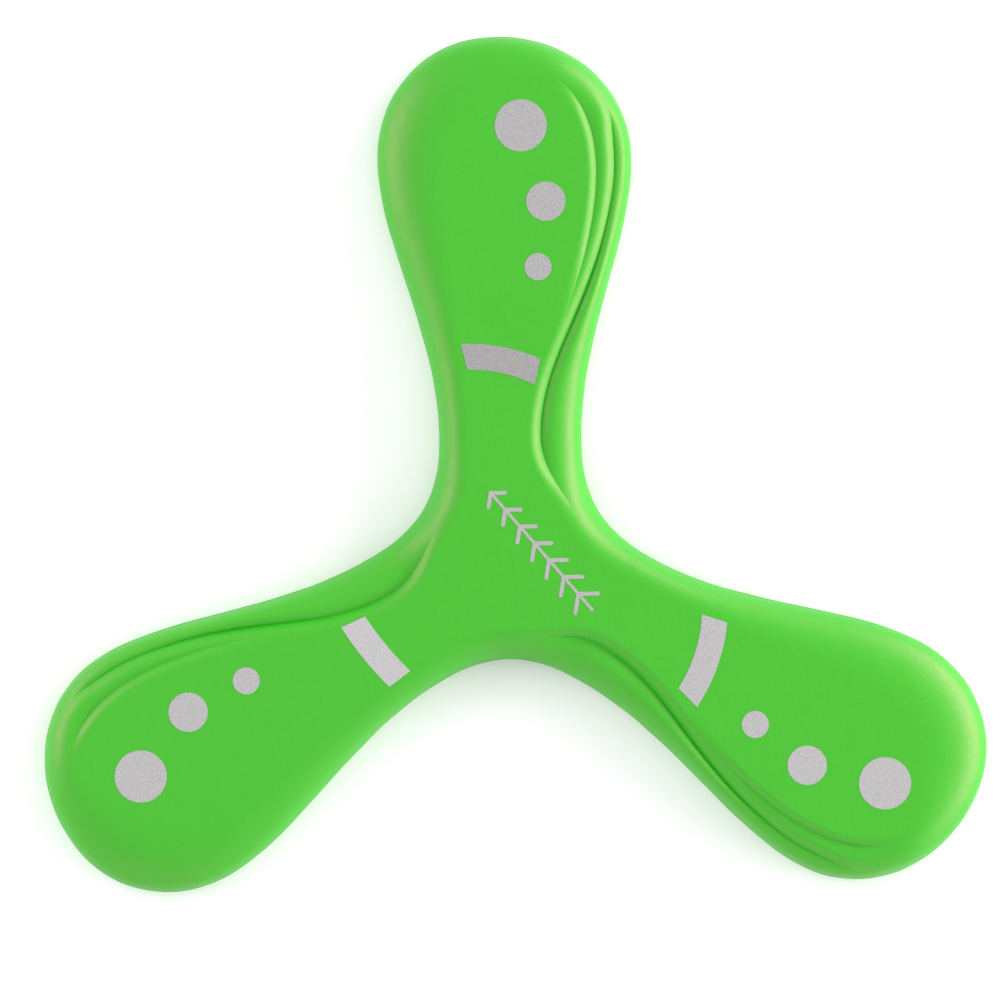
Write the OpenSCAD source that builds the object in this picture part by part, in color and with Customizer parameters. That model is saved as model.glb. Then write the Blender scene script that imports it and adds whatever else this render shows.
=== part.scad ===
// Three-blade soft foam boomerang, lying flat with its printed face up.
// Origin: centre of the hub on the resting plane. +Z is up, blade 1 points along +Y.
// Lengths are millimetres and angles are degrees, clockwise as seen from above.

/* [Blade] */
// Distance from the hub centre to the tip of a blade
blade_reach = 155; // [135:1:175]
// Width of a blade across its rounded end
lobe_width = 75; // [65:1:85]

/* [Section] */
// Thickness from the resting face to the flat printed face
thickness = 16; // [14:0.5:20]
// Height of the parting line round the rim
parting_height = 5.5; // [4.5:0.5:7]
// Drop of the inner terrace on the trailing side
inner_step = 1.6; // [0.5:0.1:2.2]
// Drop of the outer terrace on the trailing side
outer_step = 2.4; // [0.5:0.1:3]
// Thickness of the moulded skin
skin = 0.6; // [0.4:0.1:1]

/* [Print] */
// Diameter of the dot nearest the tip
large_dot = 15.4; // [12:0.2:17]
// Diameter of the middle dot
medium_dot = 11.6; // [8:0.2:13]
// Diameter of the dot nearest the hub
small_dot = 8; // [5:0.2:10]
// Width of the curved bar across each blade root
bar_width = 7.8; // [4:0.2:9]
// Thickness of the printed ink
ink = 0.15; // [0.1:0.05:0.3]

/* [Hidden] */

blades = 3;
blade_angle = 360 / blades;
columns = 40;                  // mesh columns round each blade
all_columns = blades * columns;

skin_colour = "limegreen";
foam_colour = "palegoldenrod";
ink_colour = "silver";

// ---- Plan shape: control points of the rim curve for one blade, from the web
// before it, up the leading side, round the tip and down the trailing side.
// Each is [across / lobe_width, outward / blade_reach].
RIM = [[-0.28, 0.08], [-0.27, 0.30], [-0.39, 0.50], [-0.61, 0.80], [-0.33, 1.00],
       [0.11, 1.01], [0.40, 0.92], [0.53, 0.76], [0.34, 0.46], [0.27, 0.29]];

// ---- Section shape: how each feature changes round one blade.
// Every entry is [station, value]. Stations run from 0 at the web before the blade,
// through 0.5 at the tip, to 1 at the web after it. Insets are measured from the rim.

// Inset at which the rolled shoulder has levelled out, and how full the roll is below that
ROLL_INSET = [[0, 10.5], [0.08, 8.8], [0.36, 22], [0.40, 22], [0.56, 9.5],
              [0.60, 8.5], [0.66, 4.8], [0.77, 4.8], [0.90, 10.5], [1, 10.5]];
ROLL_FULLNESS = [[0, 1.35], [0.08, 2], [0.92, 2], [1, 1.35]];

// The two lines on the trailing side: a sharp groove, and the edge of the inner terrace
GROOVE_INSET = [[0, 6.2], [0.35, 8], [0.60, 2.8], [0.68, 5.2], [0.75, 5], [0.925, 12.1], [1, 6.2]];
TERRACE_INSET = [[0, 7.8], [0.35, 10], [0.50, 8.2], [0.67, 10.9], [0.77, 9.1], [0.92, 13.6], [1, 7.8]];

// Share of inner_step below the terrace line, and of outer_step below the groove
INNER_STEP_SHARE = [[0, 0], [0.53, 0], [0.64, 1], [0.73, 1], [0.84, 0], [1, 0]];
OUTER_STEP_SHARE = [[0, 0], [0.585, 0], [0.66, 0.92], [0.94, 1], [1, 0]];

// The lip that swells up again outside the groove: its height, and the width of its inner slope
LIP_RISE = [[0, 0], [0.62, 0], [0.70, 0.35], [0.80, 1.4], [0.90, 1.2], [0.98, 0], [1, 0]];
LIP_RUN = [[0, 0.8], [0.64, 0.8], [0.92, 4.6], [1, 2]];

outer_run = 3.8;               // width of the curved riser inside the groove
inner_run = 2.8;               // width of the curved riser inside the terrace line
inner_lip_run = 3.3;           // width of the slight rise outside the terrace line
inner_lip_share = 0.2;         // height of that rise, as a share of the inner step
roll_power = 2.4;              // how soon the rolled shoulder levels out
underside_roll = 6;            // width of the rounded lower edge
underside_fullness = 2;        // how full that edge is; 2 is nearly elliptical

// Ring positions as shares of the way from the rim to the groove, the terrace line and the flat
RIM_TO_GROOVE = [0, 0.02, 0.07, 0.16, 0.30, 0.45, 0.60, 0.75, 0.88, 1];
GROOVE_TO_TERRACE = [0.25, 0.50, 0.75, 1];
TERRACE_TO_FLAT = [0.25, 0.60, 1];
UNDERSIDE_RINGS = [0, 0.05, 0.15, 0.35, 0.65, 1];

// ---- Printed marks, in blade coordinates [across, outward]
LARGE_DOT_AT = [1.4, 127.9];
MEDIUM_DOT_AT = [9.3, 105.7];
SMALL_DOT_AT = [7.4, 86.3];
// The marks of each blade are printed separately: [across, outward, clockwise turn]
PAD_SHIFT = [[1.1, 0, 1.2], [-0.4, 0.5, 2.6], [-0.8, -0.7, -4]];
// Each bar is a strip along a spiral arc: [[centre], [first, last angle], [first, last radius]]
BARS = [[[-0.9, 11.1], [-14.8, 11.3], [50.3, 45.1]],
        [[-5.0, 13.9], [-12.0, 15.4], [48.0, 53.7]],
        [[-1.7, -50.6], [-7.4, 5.1], [97.4, 100.5]]];
bar_steps = 16;                // straight segments along each bar

motif_at = [9.2, 2.2];         // middle of the hub motif
motif_heading = -41;           // direction its chevrons point in
motif_length = 46;
motif_chevrons = 7;
first_chevron = 6;             // stroke length at the tail of the motif
last_chevron = 4.2;            // stroke length at its head
chevron_angle = 50;            // between a chevron stroke and the spine
stroke_width = 1.2;
spine_width = 0.9;

// ---- Curves ----
function wrap(x) = x - floor(x);
function turn_clockwise(p, a) = [p.x * cos(a) + p.y * sin(a), p.y * cos(a) - p.x * sin(a)];
function eased(x) = (1 - cos(180 * x)) / 2;

// Value of a [station, value] list at a station, easing smoothly between its entries
function value_at(list, station, i = 1) =
    station <= list[i][0]
    ? let (from = list[i - 1], to = list[i])
      from[1] + (to[1] - from[1]) * eased((station - from[0]) / (to[0] - from[0]))
    : value_at(list, station, i + 1);

rim_points = [for (blade = [0 : blades - 1]) for (p = RIM)
    turn_clockwise([p.x * lobe_width, p.y * blade_reach], blade * blade_angle)];

function weights(u) =
    [pow(1 - u, 3), 3 * pow(u, 3) - 6 * u * u + 4, -3 * pow(u, 3) + 3 * u * u + 3 * u + 1, pow(u, 3)] / 6;
function slope_weights(u) =
    [-pow(1 - u, 2), 3 * u * u - 4 * u, -3 * u * u + 2 * u + 1, u * u] / 2;
function blend(span, w) =
    let (n = len(rim_points))
    w[0] * rim_points[(span + n - 1) % n] + w[1] * rim_points[span]
    + w[2] * rim_points[(span + 1) % n] + w[3] * rim_points[(span + 2) % n];

// A closed cubic B-spline round the whole rim; turns counts blades, from 0 to 3
function rim_span(turns) = floor(turns * len(RIM) + 1e-6) % len(rim_points);
function rim_share(turns) = max(0, turns * len(RIM) - floor(turns * len(RIM) + 1e-6));
function rim(turns) = blend(rim_span(turns), weights(rim_share(turns)));
function inward(turns) =
    let (t = blend(rim_span(turns), slope_weights(rim_share(turns))))
    [t.y, -t.x] / norm(t);

// ---- Section heights ----
// Rolled shoulder: 0 at the rim, 1 where it reaches the surface above
function roll(share, fullness) =
    share >= 1 ? 1 : pow(1 - pow(1 - max(0, share), roll_power), 1 / fullness);

// Curved steps on the two sides of a line; both are steepest at the line.
// The riser falls from 1 at the line to 0 one run inside it, the lip rises to 1 outside it.
function riser(inset, line, run) =
    let (share = (inset - line) / run)
    share >= 1 ? 0 : share <= 0 ? 1 : pow(1 - share, 2);
function lip(inset, line, run) =
    let (share = (line - inset) / run)
    share >= 1 ? 1 : share <= 0 ? 0 : 1 - pow(1 - share, 2);

function terrace_drop(station, inset) =
    let (groove = value_at(GROOVE_INSET, station), terrace = value_at(TERRACE_INSET, station),
         inner = inner_step * value_at(INNER_STEP_SHARE, station),
         outer = outer_step * value_at(OUTER_STEP_SHARE, station))
    inner * (riser(inset, terrace, inner_run) - inner_lip_share * lip(inset, terrace, inner_lip_run))
    + outer * riser(inset, groove, outer_run)
    - value_at(LIP_RISE, station) * lip(inset, groove, value_at(LIP_RUN, station));

// Upper and lower surfaces, moved inward by depth to give the inside of the skin
function upper_height(station, inset, depth) =
    let (level = thickness - depth - terrace_drop(station, inset),
         share = (inset - depth) / (value_at(ROLL_INSET, station) - depth))
    parting_height + (level - parting_height) * roll(share, value_at(ROLL_FULLNESS, station));
function lower_height(inset, depth) =
    let (share = (inset - depth) / (underside_roll - depth))
    parting_height - (parting_height - depth) * roll(share, underside_fullness);

// ---- Rings of points, from the rim inward ----
function upper_insets(station, depth) =
    let (groove = value_at(GROOVE_INSET, station),
         terrace = value_at(TERRACE_INSET, station),
         flat = max(value_at(ROLL_INSET, station), groove + outer_run, terrace + inner_run))
    concat([for (share = RIM_TO_GROOVE) depth + (groove - depth) * share],
           [for (share = GROOVE_TO_TERRACE) groove + (terrace - groove) * share],
           [for (share = TERRACE_TO_FLAT) terrace + (flat - terrace) * share]);
function lower_insets(depth) =
    [for (share = UNDERSIDE_RINGS) depth + (underside_roll - depth) * share];

function station_of(column) = wrap(column / columns);
function place(column, inset, z) =
    let (p = rim(column / columns) + inset * inward(column / columns)) [p.x, p.y, z];

function upper_points(depth) = [for (column = [0 : all_columns - 1])
    let (station = station_of(column))
    for (inset = upper_insets(station, depth))
        place(column, inset, upper_height(station, inset, depth))];
function lower_points(depth) = [for (column = [0 : all_columns - 1])
    for (inset = lower_insets(depth)) place(column, inset, lower_height(inset, depth))];

upper_rings = len(RIM_TO_GROOVE) + len(GROOVE_TO_TERRACE) + len(TERRACE_TO_FLAT);
lower_rings = len(UNDERSIDE_RINGS);
upper_count = all_columns * upper_rings;
lower_count = all_columns * lower_rings;

// ---- Faces of one surface, seen from outside; first is the index of its first point ----
function index(first, rings, column, ring) = first + (column % all_columns) * rings + ring;
function two_triangles(a, b, c, d) = [[a, b, c], [a, c, d]];

function slope_faces(first, rings) = [for (column = [0 : all_columns - 1]) for (ring = [0 : rings - 2])
    each two_triangles(index(first, rings, column, ring),
                       index(first, rings, column + 1, ring),
                       index(first, rings, column + 1, ring + 1),
                       index(first, rings, column, ring + 1))];

// The flat is laddered from leading to trailing side along each blade, and closed by the hub
function flat_faces(first, rings) =
    let (last = rings - 1)
    concat(
        [for (blade = [0 : blades - 1]) for (rung = [0 : columns / 2 - 2])
            let (lead = blade * columns + rung, trail = (blade + 1) * columns - rung)
            each two_triangles(index(first, rings, lead, last),
                               index(first, rings, lead + 1, last),
                               index(first, rings, trail - 1, last),
                               index(first, rings, trail, last))],
        [for (blade = [0 : blades - 1])
            let (tip = blade * columns + columns / 2)
            [for (step = [-1 : 1]) index(first, rings, tip + step, last)]],
        [[for (blade = [0 : blades - 1]) index(first, rings, blade * columns, last)]]);

function surface_faces(first, rings) = concat(slope_faces(first, rings), flat_faces(first, rings));
function flipped(faces) = [for (f = faces) [f[2], f[1], f[0]]];

// Band of faces joining the rims of two surfaces
function rim_faces(first_a, rings_a, first_b, rings_b) = [for (column = [0 : all_columns - 1])
    each two_triangles(index(first_a, rings_a, column, 0),
                       index(first_b, rings_b, column, 0),
                       index(first_b, rings_b, column + 1, 0),
                       index(first_a, rings_a, column + 1, 0))];

// ---- Sub-parts ----
module upper_skin() {
    color(skin_colour)
    polyhedron(
        points = concat(upper_points(0), upper_points(skin)),
        faces = concat(surface_faces(0, upper_rings),
                       flipped(surface_faces(upper_count, upper_rings)),
                       rim_faces(0, upper_rings, upper_count, upper_rings)));
}

module lower_skin() {
    color(skin_colour)
    polyhedron(
        points = concat(lower_points(0), lower_points(skin)),
        faces = concat(flipped(surface_faces(0, lower_rings)),
                       surface_faces(lower_count, lower_rings),
                       flipped(rim_faces(0, lower_rings, lower_count, lower_rings))));
}

// The two surfaces of the foam meet all round the rim
module foam_core() {
    color(foam_colour)
    polyhedron(
        points = concat(upper_points(skin), lower_points(skin)),
        faces = concat(surface_faces(0, upper_rings),
                       flipped(surface_faces(upper_count, lower_rings))));
}

module on_blade(number) {
    rotate(-(number - 1) * blade_angle)
    translate([0, 0, thickness])
    children();
}

// A dot keeps its place relative to the middle dot when the print is turned
module dot(number, at, diameter) {
    shift = PAD_SHIFT[number - 1];
    centre = MEDIUM_DOT_AT + [shift[0], shift[1]] + turn_clockwise(at - MEDIUM_DOT_AT, shift[2]);
    color(ink_colour)
    on_blade(number)
    translate(centre)
    cylinder(d = diameter, h = ink, $fn = 96);
}

// Point of a spiral strip, a share of the way along it and offset from its middle
function strip_point(strip, share, offset) =
    let (centre = strip[0], angles = strip[1], radii = strip[2],
         angle = angles[0] + (angles[1] - angles[0]) * share,
         radius = radii[0] + (radii[1] - radii[0]) * share + offset)
    centre + radius * [sin(angle), cos(angle)];

module bar(number) {
    strip = BARS[number - 1];
    outer = [for (i = [0 : bar_steps]) strip_point(strip, i / bar_steps, bar_width / 2)];
    inner = [for (i = [bar_steps : -1 : 0]) strip_point(strip, i / bar_steps, -bar_width / 2)];
    color(ink_colour)
    on_blade(number)
    linear_extrude(ink)
    polygon(concat(outer, inner));
}

// One chevron pointing along +Y, with its tip at the origin
module chevron(stroke_length) {
    for (side = [-1, 1])
        rotate(side * (180 - chevron_angle))
        translate([-stroke_width / 2, -stroke_width / 2])
        square([stroke_width, stroke_length + stroke_width]);
}

// A row of chevrons on a spine, like the fletching of an arrow
module hub_motif() {
    color(ink_colour)
    translate([motif_at.x, motif_at.y, thickness])
    rotate(-motif_heading)
    linear_extrude(ink)
    translate([0, -motif_length / 2])
    union() {
        translate([-spine_width / 2, 0])
        square([spine_width, motif_length]);
        for (i = [1 : motif_chevrons]) {
            share = i / motif_chevrons;
            translate([0, share * motif_length])
            chevron(first_chevron + (last_chevron - first_chevron) * share);
        }
    }
}

upper_skin();
lower_skin();
foam_core();
for (number = [1 : blades]) {
    dot(number, LARGE_DOT_AT, large_dot);
    dot(number, MEDIUM_DOT_AT, medium_dot);
    dot(number, SMALL_DOT_AT, small_dot);
    bar(number);
}
hub_motif();
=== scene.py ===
"""A soft three-blade foam boomerang on a pale floor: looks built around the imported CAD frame.

Lengths are millimetres, as in the CAD, until a mesh is made. Angles are degrees, clockwise as
seen from above. A blade's coordinates are [across, outward], with +across on its trailing side.
"""

import bmesh
import bpy
import numpy as np
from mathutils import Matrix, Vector


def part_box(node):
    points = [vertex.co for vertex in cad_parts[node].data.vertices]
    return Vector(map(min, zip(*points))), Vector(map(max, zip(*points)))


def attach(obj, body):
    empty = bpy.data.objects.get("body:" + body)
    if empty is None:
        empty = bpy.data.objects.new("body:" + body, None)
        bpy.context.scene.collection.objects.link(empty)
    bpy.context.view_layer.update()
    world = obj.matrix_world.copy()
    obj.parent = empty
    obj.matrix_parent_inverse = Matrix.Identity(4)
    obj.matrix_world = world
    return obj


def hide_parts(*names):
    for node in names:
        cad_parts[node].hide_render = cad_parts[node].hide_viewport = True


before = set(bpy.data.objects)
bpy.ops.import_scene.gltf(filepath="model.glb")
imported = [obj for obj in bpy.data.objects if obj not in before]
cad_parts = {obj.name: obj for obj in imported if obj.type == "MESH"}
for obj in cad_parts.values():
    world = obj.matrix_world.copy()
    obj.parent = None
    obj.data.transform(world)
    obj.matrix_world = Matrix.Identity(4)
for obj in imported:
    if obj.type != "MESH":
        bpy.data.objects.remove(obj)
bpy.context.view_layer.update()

MM = 0.001

# ---- Driving sizes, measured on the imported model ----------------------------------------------


def size_mm(node, axis):
    """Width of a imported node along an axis, in mm."""
    low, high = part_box(node)
    return (high[axis] - low[axis]) / MM


def top_mm(node):
    """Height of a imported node's top, in mm."""
    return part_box(node)[1].z / MM


THICKNESS = top_mm("upper_skin")
PARTING_HEIGHT = top_mm("lower_skin")
SKIN = THICKNESS - top_mm("foam_core")
LARGE_DOT = size_mm("large_dot_1", 0)
MEDIUM_DOT = size_mm("medium_dot_1", 0)
SMALL_DOT = size_mm("small_dot_1", 0)

# ---- The blade's design, the same as the CAD's -------------------------------------------------

BLADES = 3
BLADE_ANGLE = 360 / BLADES
BLADE_REACH = 155
LOBE_WIDTH = 75

# Control points of the rim curve for one blade, as [across / width, outward / reach]
RIM = [(-0.28, 0.08), (-0.27, 0.30), (-0.39, 0.50), (-0.61, 0.80), (-0.33, 1.00),
       (0.11, 1.01), (0.40, 0.92), (0.53, 0.76), (0.34, 0.46), (0.27, 0.29)]

# [station, value] lists. Stations run round a blade from 0 at the web before it, through 0.5
# at the tip, to 1 at the web after it. Insets are measured from the rim.
ROLL_INSET = [(0, 10.5), (0.08, 8.8), (0.36, 22), (0.40, 22), (0.56, 9.5),
              (0.60, 8.5), (0.66, 4.8), (0.77, 4.8), (0.90, 10.5), (1, 10.5)]
ROLL_FULLNESS = [(0, 1.35), (0.08, 2), (0.92, 2), (1, 1.35)]
GROOVE_INSET = [(0, 6.2), (0.35, 8), (0.60, 2.8), (0.68, 5.2), (0.75, 5), (0.925, 12.1), (1, 6.2)]
TERRACE_INSET = [(0, 7.8), (0.35, 10), (0.50, 8.2), (0.67, 10.9), (0.77, 9.1), (0.92, 13.6), (1, 7.8)]
INNER_STEP_SHARE = [(0, 0), (0.53, 0), (0.64, 1), (0.73, 1), (0.84, 0), (1, 0)]
OUTER_STEP_SHARE = [(0, 0), (0.585, 0), (0.66, 0.92), (0.94, 1), (1, 0)]
LIP_RISE = [(0, 0), (0.62, 0), (0.70, 0.35), (0.80, 1.4), (0.90, 1.2), (0.98, 0), (1, 0)]
LIP_RUN = [(0, 0.8), (0.64, 0.8), (0.92, 4.6), (1, 2)]

INNER_STEP = 1.6
OUTER_STEP = 2.4
OUTER_RUN = 3.8
INNER_RUN = 2.8
INNER_LIP_RUN = 3.3
INNER_LIP_SHARE = 0.2
ROLL_POWER = 2.4
UNDERSIDE_ROLL = 6
UNDERSIDE_FULLNESS = 2

# Printed marks
LARGE_DOT_AT = (1.4, 127.9)
MEDIUM_DOT_AT = (9.3, 105.7)
SMALL_DOT_AT = (7.4, 86.3)
PAD_SHIFT = [(1.1, 0, 1.2), (-0.4, 0.5, 2.6), (-0.8, -0.7, -4)]
# Each bar is a strip along a spiral arc: (centre), (first, last angle), (first, last radius)
BARS = [((-0.9, 11.1), (-14.8, 11.3), (50.3, 45.1)),
        ((-5.0, 13.9), (-12.0, 15.4), (48.0, 53.7)),
        ((-1.7, -50.6), (-7.4, 5.1), (97.4, 100.5))]
BAR_WIDTH = 7.8
MOTIF_AT = (9.2, 2.2)
MOTIF_HEADING = -41
MOTIF_LENGTH = 46
MOTIF_CHEVRONS = 7
FIRST_CHEVRON = 6
LAST_CHEVRON = 4.2
CHEVRON_ANGLE = 50
STROKE_WIDTH = 1.2
SPINE_WIDTH = 0.9

# ---- Extra detail that only the looks have -----------------------------------------------------

COLUMNS = 260          # mesh columns round each blade
RIM_CROWDING = 1.7     # how closely the underside's rings crowd towards the rim
INK = 0.07             # height of the printed ink
DOT_SHADES = (0.31, 0.36, 0.35)  # how light the silver is on each blade's dots
BAR_SHADES = (0.26, 0.36, 0.40)  # and on its bar; the three blades' marks differ in lightness
MOTIF_SHADE = 0.34
GRAIN_CONTRAST = 0.10  # how much lighter the light grains of the ink are than the dark ones
INK_WARMTH = 0.01      # how much less green and blue than red there is in the ink
BEAD = 0.22            # how far the parting line stands out of the wall beside it
BEAD_HEIGHT = 0.45     # how far it reaches above and below the parting plane
BEAD_MARGIN = 2.0      # width of the slope that is drawn in beside it
BEAD_WAVER = 0.25      # how unevenly it stands out, as a share of BEAD
BEAD_RINGS = 6         # mesh rings on each side of the parting plane
DOT_POINTS = 96        # points round a dot
BAR_POINTS = 24        # points along each side of a bar
CAP_POINTS = 9         # points round the end of a chevron stroke
WELD = 1e-7            # points closer than this, in metres, are one point

# ---- Curves and section heights ----------------------------------------------------------------


def turn_clockwise(point, angle):
    """The point turned clockwise about the origin, as seen from above."""
    a = np.radians(angle)
    x, y = point
    return np.array([x * np.cos(a) + y * np.sin(a), y * np.cos(a) - x * np.sin(a)])


def eased(share):
    """A smooth start and stop between 0 and 1."""
    return (1 - np.cos(np.pi * share)) / 2


def value_at(table, station):
    """The table's values at an array of stations, easing smoothly between its entries."""
    stations, values = np.array(table, float).T
    i = np.clip(np.searchsorted(stations, station, side="right") - 1, 0, len(stations) - 2)
    share = (station - stations[i]) / (stations[i + 1] - stations[i])
    return values[i] + (values[i + 1] - values[i]) * eased(share)


RIM_POINTS = np.array([turn_clockwise((x * LOBE_WIDTH, y * BLADE_REACH), blade * BLADE_ANGLE)
                       for blade in range(BLADES) for x, y in RIM])


def rim_and_inward(turns):
    """Points of the closed B-spline rim and their inward directions; turns counts blades."""
    t = turns * len(RIM)
    span = np.floor(t + 1e-9).astype(int)
    u = np.maximum(t - span, 0)
    weights = [(1 - u) ** 3 / 6, (3 * u**3 - 6 * u**2 + 4) / 6,
               (-3 * u**3 + 3 * u**2 + 3 * u + 1) / 6, u**3 / 6]
    slopes = [-((1 - u) ** 2) / 2, (3 * u**2 - 4 * u) / 2, (-3 * u**2 + 2 * u + 1) / 2, u**2 / 2]
    near = [RIM_POINTS[(span + k - 1) % len(RIM_POINTS)] for k in range(4)]
    point = sum(w[:, None] * p for w, p in zip(weights, near))
    along = sum(w[:, None] * p for w, p in zip(slopes, near))
    along /= np.linalg.norm(along, axis=1)[:, None]
    return point, np.stack([along[:, 1], -along[:, 0]], axis=1)


def roll(share, fullness):
    """The rolled shoulder: 0 at the rim, 1 where it reaches the surface above."""
    return (1 - (1 - np.clip(share, 0, 1)) ** ROLL_POWER) ** (1 / fullness)


def riser(inset, line, run):
    """Falls from 1 at the line, where it is steepest, to 0 one run inside it."""
    return (1 - np.clip((inset - line) / run, 0, 1)) ** 2


def lip(inset, line, run):
    """Rises from 0 at the line, where it is steepest, to 1 one run outside it."""
    return 1 - (1 - np.clip((line - inset) / run, 0, 1)) ** 2


def terrace_drop(station, inset):
    """How far the terraces and the lip bring the surface below the flat."""
    groove = value_at(GROOVE_INSET, station)
    terrace = value_at(TERRACE_INSET, station)
    inner = INNER_STEP * value_at(INNER_STEP_SHARE, station)
    outer = OUTER_STEP * value_at(OUTER_STEP_SHARE, station)
    return (inner * (riser(inset, terrace, INNER_RUN) - INNER_LIP_SHARE * lip(inset, terrace, INNER_LIP_RUN))
            + outer * riser(inset, groove, OUTER_RUN)
            - value_at(LIP_RISE, station) * lip(inset, groove, value_at(LIP_RUN, station)))


def upper_height(station, inset, depth):
    """Height of the printed side's surface, or of the skin's inside when depth is its thickness."""
    level = THICKNESS - depth - terrace_drop(station, inset)
    share = (inset - depth) / (value_at(ROLL_INSET, station) - depth)
    return PARTING_HEIGHT + (level - PARTING_HEIGHT) * roll(share, value_at(ROLL_FULLNESS, station))


def lower_height(inset, depth):
    """Height of the resting side's surface, moved inward by depth."""
    share = (inset - depth) / (UNDERSIDE_ROLL - depth)
    return PARTING_HEIGHT - (PARTING_HEIGHT - depth) * roll(share, UNDERSIDE_FULLNESS)


# ---- Meshes ------------------------------------------------------------------------------------

TURNS = np.arange(BLADES * COLUMNS) / COLUMNS
STATION = (TURNS % 1)[:, None]
RIM_AT, INWARD = rim_and_inward(TURNS)


def grid_points(insets, heights):
    """One row of points per column, from the rim inward."""
    plan = RIM_AT[:, None, :] + insets[:, :, None] * INWARD[:, None, :]
    return np.concatenate([plan, heights[:, :, None]], axis=2)


def bead_rings(direction):
    """Rings of the thin ridge left along the parting line, on one side of the parting plane."""
    angle = np.linspace(0, np.pi / 2, BEAD_RINGS)[None, :]
    waver = 1 + BEAD_WAVER * (np.sin(10 * np.pi * TURNS) * np.sin(34 * np.pi * TURNS))[:, None]
    insets = BEAD * (1 - waver * np.cos(angle))
    heights = PARTING_HEIGHT + direction * BEAD_HEIGHT * np.sin(angle)
    return insets, np.broadcast_to(heights, insets.shape)


def upper_grid(depth, rim_rings, groove_rings, flat_rings):
    """Rings from the rim to the groove, the terrace line and the flat, closer beside each line."""
    groove = value_at(GROOVE_INSET, STATION)
    terrace = value_at(TERRACE_INSET, STATION)
    flat = np.maximum(value_at(ROLL_INSET, STATION), np.maximum(groove + OUTER_RUN, terrace + INNER_RUN))
    bands = [(depth, groove, rim_rings), (groove, terrace, groove_rings), (terrace, flat, flat_rings)]
    insets = [start + (end - start) * eased(np.arange(rings) / rings) for start, end, rings in bands]
    insets = np.concatenate([*insets, flat], axis=1)
    return insets, upper_height(STATION, insets, depth)


def lower_grid(depth, rings):
    """Rings of the resting side, from the rim to its flat, crowded towards the rim."""
    share = np.linspace(0, 1, rings) ** RIM_CROWDING
    insets = np.tile(depth + (UNDERSIDE_ROLL - depth) * share, (len(TURNS), 1))
    return insets, lower_height(insets, depth)


def with_bead(insets, heights, direction):
    """Draws the wall in beside the rim, and puts the parting ridge there in place of the first rings."""
    drawn_in = insets + BEAD * np.clip(1 - insets / BEAD_MARGIN, 0, 1)
    bead_insets, bead_heights = bead_rings(direction)
    clear_of_bead = (np.abs(heights - PARTING_HEIGHT) > BEAD_HEIGHT).all(axis=0)
    first = int(np.argmax(clear_of_bead))
    return (np.concatenate([bead_insets, drawn_in[:, first:]], axis=1),
            np.concatenate([bead_heights, heights[:, first:]], axis=1))


def surface_faces(first, rings, flip):
    """Quads of one surface: the slope, the flat laddered across each blade, and the hub."""
    count = BLADES * COLUMNS

    def at(column, ring):
        return first + (column % count) * rings + ring

    faces = [(at(c, r), at(c, r + 1), at(c + 1, r + 1), at(c + 1, r))
             for c in range(count) for r in range(rings - 1)]
    last = rings - 1
    for blade in range(BLADES):
        start, end = blade * COLUMNS, (blade + 1) * COLUMNS
        for rung in range(COLUMNS // 2 - 1):
            faces.append((at(start + rung, last), at(end - rung, last),
                          at(end - rung - 1, last), at(start + rung + 1, last)))
        tip = start + COLUMNS // 2
        faces.append((at(tip - 1, last), at(tip + 1, last), at(tip, last)))
    faces.append(tuple(at(blade * COLUMNS, last) for blade in reversed(range(BLADES))))
    return [tuple(reversed(f)) for f in faces] if flip else faces


def rim_faces(first_a, rings_a, first_b, rings_b):
    """The band of quads that joins the rims of two surfaces."""
    count = BLADES * COLUMNS
    return [(first_a + c * rings_a, first_a + n * rings_a, first_b + n * rings_b, first_b + c * rings_b)
            for c in range(count) for n in [(c + 1) % count]]


def mesh_object(name, points, faces, material, smooth=True):
    """An object made of points in mm."""
    mesh = bpy.data.meshes.new(name)
    mesh.from_pydata((np.asarray(points) * MM).tolist(), [], faces)
    mesh.validate()
    mesh.polygons.foreach_set("use_smooth", [smooth] * len(mesh.polygons))
    mesh.materials.append(material)
    piece = bpy.data.objects.new(name, mesh)
    bpy.context.scene.collection.objects.link(piece)
    return piece


def merge_and_orient(piece):
    """Welds points that coincide and turns every face outward."""
    bm = bmesh.new()
    bm.from_mesh(piece.data)
    bmesh.ops.remove_doubles(bm, verts=bm.verts, dist=WELD)
    bmesh.ops.recalc_face_normals(bm, faces=bm.faces)
    bm.to_mesh(piece.data)
    bm.free()


def shell(name, outside, inside, flip, material):
    """A closed skin between an outer and an inner surface."""
    points_out, points_in = grid_points(*outside), grid_points(*inside)
    rings_out, rings_in = points_out.shape[1], points_in.shape[1]
    split = points_out.shape[0] * rings_out
    points = np.concatenate([points_out.reshape(-1, 3), points_in.reshape(-1, 3)])
    faces = (surface_faces(0, rings_out, flip) + surface_faces(split, rings_in, not flip)
             + rim_faces(0, rings_out, split, rings_in))
    piece = mesh_object(name, points, faces, material)
    merge_and_orient(piece)
    return piece


# ---- Materials ---------------------------------------------------------------------------------


def new_material(name):
    """A new material, its node tree and its Principled shader."""
    material = bpy.data.materials.new(name)
    material.use_nodes = True
    tree = material.node_tree
    return material, tree, tree.nodes["Principled BSDF"]


def noise(tree, feature_mm, detail=2.0, rough=0.5):
    """Noise whose blobs are about feature_mm across, in object space."""
    place = tree.nodes.new("ShaderNodeTexCoord")
    node = tree.nodes.new("ShaderNodeTexNoise")
    node.inputs["Scale"].default_value = 1 / (feature_mm * MM)
    node.inputs["Detail"].default_value = detail
    node.inputs["Roughness"].default_value = rough
    tree.links.new(place.outputs["Object"], node.inputs["Vector"])
    return node.outputs["Fac"]


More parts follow.
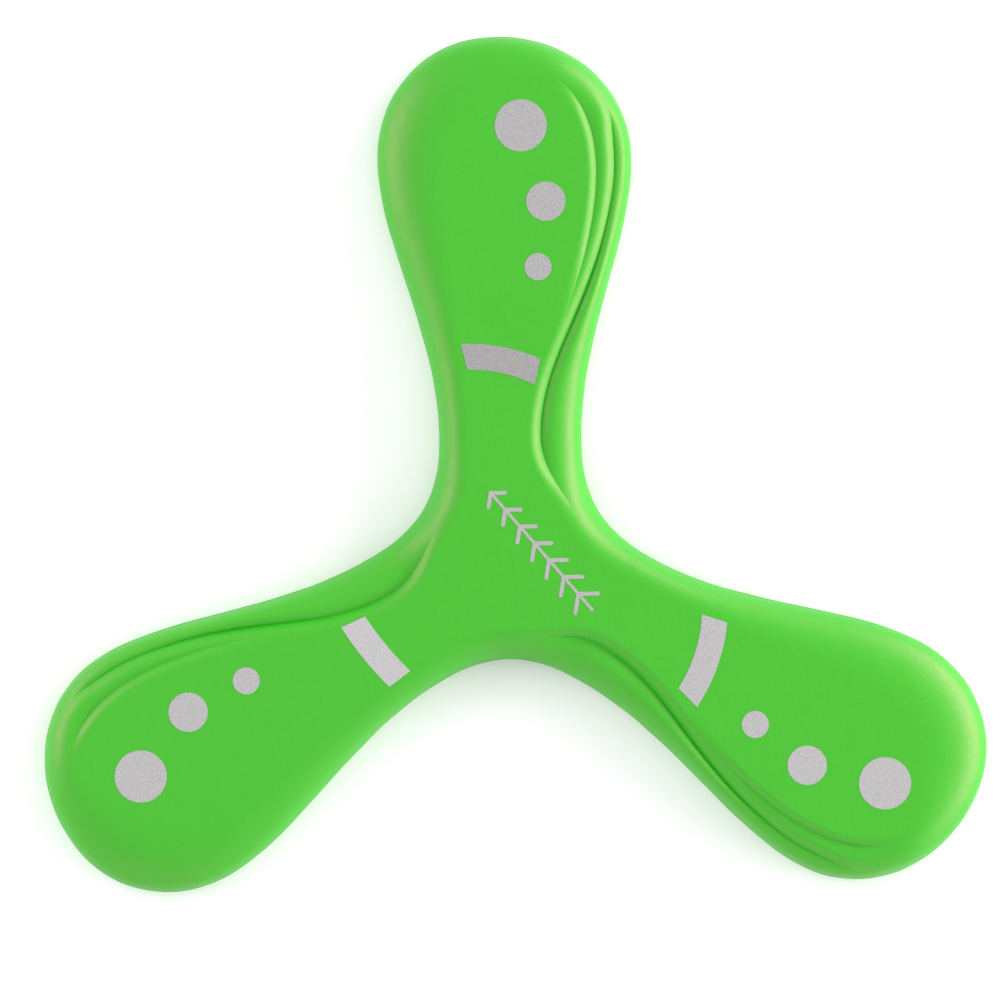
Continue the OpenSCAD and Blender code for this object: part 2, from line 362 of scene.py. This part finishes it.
def pits(tree, spacing_mm, radius_mm):
    """Scattered pinholes: 0 over the surface, up to 1 inside a pit."""
    place = tree.nodes.new("ShaderNodeTexCoord")
    cells = tree.nodes.new("ShaderNodeTexVoronoi")
    cells.inputs["Scale"].default_value = 1 / (spacing_mm * MM)
    tree.links.new(place.outputs["Object"], cells.inputs["Vector"])
    return spread(tree, cells.outputs["Distance"], 0, radius_mm / spacing_mm, 1, 0)


def spread(tree, value, low, high, to_low, to_high):
    """Maps a value from one range to another."""
    node = tree.nodes.new("ShaderNodeMapRange")
    for socket, number in zip(("From Min", "From Max", "To Min", "To Max"), (low, high, to_low, to_high)):
        node.inputs[socket].default_value = number
    tree.links.new(value, node.inputs["Value"])
    return node.outputs["Result"]


def colours(tree, value, stops):
    """A colour ramp with the given [position, colour] stops."""
    ramp = tree.nodes.new("ShaderNodeValToRGB")
    while len(ramp.color_ramp.elements) < len(stops):
        ramp.color_ramp.elements.new(0.5)
    for element, (position, colour) in zip(ramp.color_ramp.elements, stops):
        element.position = position
        element.color = (*colour, 1)
    tree.links.new(value, ramp.inputs["Fac"])
    return ramp.outputs["Color"]


def blended(tree, colour_a, colour_b, share):
    """A mix of two colours: the first at share 0, the second at share 1."""
    mix = tree.nodes.new("ShaderNodeMix")
    mix.data_type = "RGBA"
    tree.links.new(colour_a, mix.inputs["A"])
    tree.links.new(colour_b, mix.inputs["B"])
    tree.links.new(share, mix.inputs["Factor"])
    return mix.outputs["Result"]


def bumped(tree, heights):
    """Chains bumps of [height, depth in mm, inverted] and returns the last normal."""
    normal = None
    for height, depth_mm, inverted in heights:
        bump = tree.nodes.new("ShaderNodeBump")
        bump.invert = inverted
        bump.inputs["Strength"].default_value = 1
        bump.inputs["Distance"].default_value = depth_mm * MM
        tree.links.new(height, bump.inputs["Height"])
        if normal:
            tree.links.new(normal, bump.inputs["Normal"])
        normal = bump.outputs["Normal"]
    return normal


def green_skin():
    """Satin moulded polyurethane skin: fine grain, faint mottling and a few pinholes."""
    material, tree, shader = new_material("green_skin")
    grain = noise(tree, 0.45, detail=4)
    mottle = noise(tree, 26, detail=3)
    holes = pits(tree, 9, 0.28)
    fresh = colours(tree, grain, [(0.3, (0.002, 0.405, 0.003)), (0.7, (0.003, 0.425, 0.004))])
    faded = colours(tree, grain, [(0.3, (0.002, 0.41, 0.004)), (0.7, (0.004, 0.43, 0.005))])
    tree.links.new(blended(tree, fresh, faded, spread(tree, mottle, 0.35, 0.65, 0, 1)),
                   shader.inputs["Base Color"])
    tree.links.new(spread(tree, noise(tree, 3, detail=4), 0.3, 0.7, 0.44, 0.51), shader.inputs["Roughness"])
    tree.links.new(bumped(tree, [(mottle, 0.25, False), (grain, 0.055, False), (holes, 0.12, True)]),
                   shader.inputs["Normal"])
    shader.inputs["Specular IOR Level"].default_value = 1.0
    shader.inputs["IOR"].default_value = 1.54
    # Highlights add mostly red and blue. This tint is chosen for its look, and isn't a measured one.
    shader.inputs["Specular Tint"].default_value = (1, 0.15, 0.5, 1)
    return material


def cream_foam():
    """Open-celled foam inside the skin, with painted shade darkening the inside of each cell."""
    material, tree, shader = new_material("cream_foam")
    shader.inputs["Roughness"].default_value = 0.9
    cells = pits(tree, 0.8, 0.45)
    # Painted shade: the inside of each cell is coloured darker than the foam around it.
    tree.links.new(colours(tree, cells, [(0.0, (0.80, 0.76, 0.55)), (1.0, (0.52, 0.48, 0.31))]),
                   shader.inputs["Base Color"])
    tree.links.new(bumped(tree, [(cells, 0.3, True)]), shader.inputs["Normal"])
    return material


def grey(shade):
    """A grey very slightly warmed towards red."""
    return shade, shade - INK_WARMTH, shade - INK_WARMTH


def silver_ink(name, shade):
    """Silver-grey printed ink with a fine metallic speckle; shade is how light its dark grains are."""
    material, tree, shader = new_material(name)
    shader.inputs["Metallic"].default_value = 0.3
    shader.inputs["Roughness"].default_value = 0.5
    speckle = noise(tree, 0.5, detail=3)
    grains = [(0.35, grey(shade)), (0.65, grey(shade + GRAIN_CONTRAST))]
    tree.links.new(colours(tree, speckle, grains), shader.inputs["Base Color"])
    tree.links.new(bumped(tree, [(speckle, 0.02, False)]), shader.inputs["Normal"])
    return material


def pale_floor():
    """A matt, nearly white surface."""
    material, _, shader = new_material("pale_floor")
    shader.inputs["Base Color"].default_value = (0.95, 0.95, 0.95, 1)
    shader.inputs["Roughness"].default_value = 0.9
    return material


# ---- Pieces ------------------------------------------------------------------------------------


def finish_piece(piece, node):
    """Puts a looks piece in the place of its CAD node."""
    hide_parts(node)
    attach(piece, "root")
    return piece


def build_body(skin_material, foam_material):
    """The two skins and the foam between them."""
    upper = shell("skin_upper", with_bead(*upper_grid(0, 30, 14, 20), 1), upper_grid(SKIN, 8, 5, 6),
                  False, skin_material)
    lower = shell("skin_lower", with_bead(*lower_grid(0, 22), -1), lower_grid(SKIN, 8),
                  True, skin_material)
    top, bottom = grid_points(*upper_grid(SKIN, 18, 8, 12)), grid_points(*lower_grid(SKIN, 10))
    split = top.shape[0] * top.shape[1]
    faces = surface_faces(0, top.shape[1], False) + surface_faces(split, bottom.shape[1], True)
    core = mesh_object("foam_inside", np.concatenate([top.reshape(-1, 3), bottom.reshape(-1, 3)]),
                       faces, foam_material)
    merge_and_orient(core)
    finish_piece(upper, "upper_skin")
    finish_piece(lower, "lower_skin")
    finish_piece(core, "foam_core")


def ink_mark(name, outline, material):
    """A thin printed mark with the given outline, in mm, on the flat of the blades."""
    outline = np.asarray(outline)
    count = len(outline)
    foot = np.column_stack([outline, np.full(count, THICKNESS - INK / 2)])
    brow = np.column_stack([outline, np.full(count, THICKNESS + INK)])
    sides = [(i, (i + 1) % count, count + (i + 1) % count, count + i) for i in range(count)]
    piece = mesh_object(name, np.concatenate([foot, brow]), sides, material, smooth=False)
    bm = bmesh.new()
    bm.from_mesh(piece.data)
    bm.verts.ensure_lookup_table()
    for ring in (range(count), range(count, 2 * count)):
        edges = [bm.edges.get((bm.verts[ring[i]], bm.verts[ring[(i + 1) % count]])) for i in range(count)]
        bmesh.ops.triangle_fill(bm, edges=edges, use_beauty=True)
    bmesh.ops.recalc_face_normals(bm, faces=bm.faces)
    bm.to_mesh(piece.data)
    bm.free()
    return piece


def on_blade(points, number):
    """Blade coordinates turned to the numbered blade."""
    return np.array([turn_clockwise(p, (number - 1) * BLADE_ANGLE) for p in points])


def arc(centre, radius, start, end, count):
    """Points on an arc; angles are clockwise from the outward direction."""
    angles = np.radians(np.linspace(start, end, count))
    return [(centre[0] + radius * np.sin(a), centre[1] + radius * np.cos(a)) for a in angles]


def dot_outline(number, at, diameter):
    """A dot, which keeps its place relative to the middle dot when the print is turned."""
    across, outward, turn = PAD_SHIFT[number - 1]
    from_middle = turn_clockwise(np.subtract(at, MEDIUM_DOT_AT), turn)
    centre = np.add(MEDIUM_DOT_AT, (across, outward)) + from_middle
    last_angle = 360 - 360 / DOT_POINTS
    return on_blade(arc(centre, diameter / 2, 0, last_angle, DOT_POINTS), number)


def bar_outline(number):
    """A strip along a spiral arc: its bend radius changes evenly from one end to the other."""
    centre, angles, radii = BARS[number - 1]
    share = np.linspace(0, 1, BAR_POINTS)
    angle = np.radians(angles[0] + (angles[1] - angles[0]) * share)
    radius = radii[0] + (radii[1] - radii[0]) * share
    heading = np.column_stack([np.sin(angle), np.cos(angle)])
    outer = centre + (radius + BAR_WIDTH / 2)[:, None] * heading
    inner = centre + (radius - BAR_WIDTH / 2)[:, None] * heading
    return on_blade(np.concatenate([outer, inner[::-1]]), number)


def motif_outline():
    """One side of the chevron row, from its tail to its head, mirrored for the other side."""
    a = np.radians(CHEVRON_ANGLE)
    half, spine = STROKE_WIDTH / 2, SPINE_WIDTH / 2
    side = [(spine, 0)]
    for i in range(1, MOTIF_CHEVRONS + 1):
        share = i / MOTIF_CHEVRONS
        tip = share * MOTIF_LENGTH
        length = FIRST_CHEVRON + (LAST_CHEVRON - FIRST_CHEVRON) * share
        along_low = (spine + half * np.cos(a)) / np.sin(a)
        along_high = (spine - half * np.cos(a)) / np.sin(a)
        side.append((spine, tip - half * np.sin(a) - along_low * np.cos(a)))
        end = (length * np.sin(a), tip - length * np.cos(a))
        side += arc(end, half, 270 - CHEVRON_ANGLE, 90 - CHEVRON_ANGLE, CAP_POINTS)
        side.append((spine, tip + half * np.sin(a) - along_high * np.cos(a)))
    side[-1] = (0, MOTIF_LENGTH + half / np.sin(a))
    other = [(-x, y) for x, y in reversed(side[:-1])]
    return [turn_clockwise((x, y - MOTIF_LENGTH / 2), MOTIF_HEADING) + MOTIF_AT for x, y in side + other]


def build_prints():
    """The dots and the bar of each blade, each in its own shade of ink, and the hub's motif."""
    dots = [("large_dot", LARGE_DOT_AT, LARGE_DOT), ("medium_dot", MEDIUM_DOT_AT, MEDIUM_DOT),
            ("small_dot", SMALL_DOT_AT, SMALL_DOT)]
    for number in range(1, BLADES + 1):
        dot_ink = silver_ink(f"dot_ink_{number}", DOT_SHADES[number - 1])
        for name, at, diameter in dots:
            piece = ink_mark(f"print_{name}_{number}", dot_outline(number, at, diameter), dot_ink)
            finish_piece(piece, f"{name}_{number}")
        bar_ink = silver_ink(f"bar_ink_{number}", BAR_SHADES[number - 1])
        piece = ink_mark(f"print_bar_{number}", bar_outline(number), bar_ink)
        finish_piece(piece, f"bar_{number}")
    motif_ink = silver_ink("motif_ink", MOTIF_SHADE)
    finish_piece(ink_mark("print_hub_motif", motif_outline(), motif_ink), "hub_motif")


# ---- Studio ------------------------------------------------------------------------------------


def build_floor():
    """A floor just under the resting plane, so that the two don't share it."""
    half = 4.0
    gap = 0.0002
    mesh = bpy.data.meshes.new("floor")
    corners = [(-half, -half), (half, -half), (half, half), (-half, half)]
    mesh.from_pydata([(x, y, -gap) for x, y in corners], [], [(0, 1, 2, 3)])
    mesh.materials.append(pale_floor())
    floor = bpy.data.objects.new("floor", mesh)
    bpy.context.scene.collection.objects.link(floor)


def softbox(name, bearing, elevation, distance, size, watts):
    """An area light aimed at the hub, in metres and watts; bearing is clockwise from +Y."""
    light = bpy.data.lights.new(name, "AREA")
    light.shape = "RECTANGLE"
    light.size, light.size_y = size
    light.energy = watts
    lamp = bpy.data.objects.new(name, light)
    rise = np.radians(elevation)
    turn = np.radians(bearing)
    direction = Vector((np.sin(turn) * np.cos(rise), np.cos(turn) * np.cos(rise), np.sin(rise)))
    lamp.location = direction * distance
    lamp.rotation_euler = direction.to_track_quat("Z", "Y").to_euler()
    bpy.context.scene.collection.objects.link(lamp)


def build_lights():
    """A long low key light, a fill opposite it, a weak front light and a white surround."""
    softbox("key", 75, 17, 1.35, (2.4, 0.5), 36)
    softbox("fill", -73, 24, 1.2, (1.0, 0.7), 9)
    softbox("front", 190, 26, 1.3, (1.8, 0.5), 2.5)
    world = bpy.data.worlds.new("studio")
    world.use_nodes = True
    world.node_tree.nodes["Background"].inputs["Color"].default_value = (1, 1, 1, 1)
    world.node_tree.nodes["Background"].inputs["Strength"].default_value = 0.81
    bpy.context.scene.world = world
    bpy.context.scene.view_settings.view_transform = "Standard"


def build_camera():
    """Straight above the object, with +Y up in the picture."""
    frame_width = 297.0
    centre = Vector((-3.15, 17.5, 0)) * MM
    data = bpy.data.cameras.new("camera")
    data.lens = 200
    data.sensor_width = 36
    distance = frame_width * MM * data.lens / data.sensor_width
    camera = bpy.data.objects.new("camera", data)
    camera.location = centre + Vector((0, 0, PARTING_HEIGHT * MM + distance))
    bpy.context.scene.collection.objects.link(camera)
    bpy.context.scene.camera = camera


build_camera()
build_body(green_skin(), cream_foam())
build_prints()
build_floor()
build_lights()
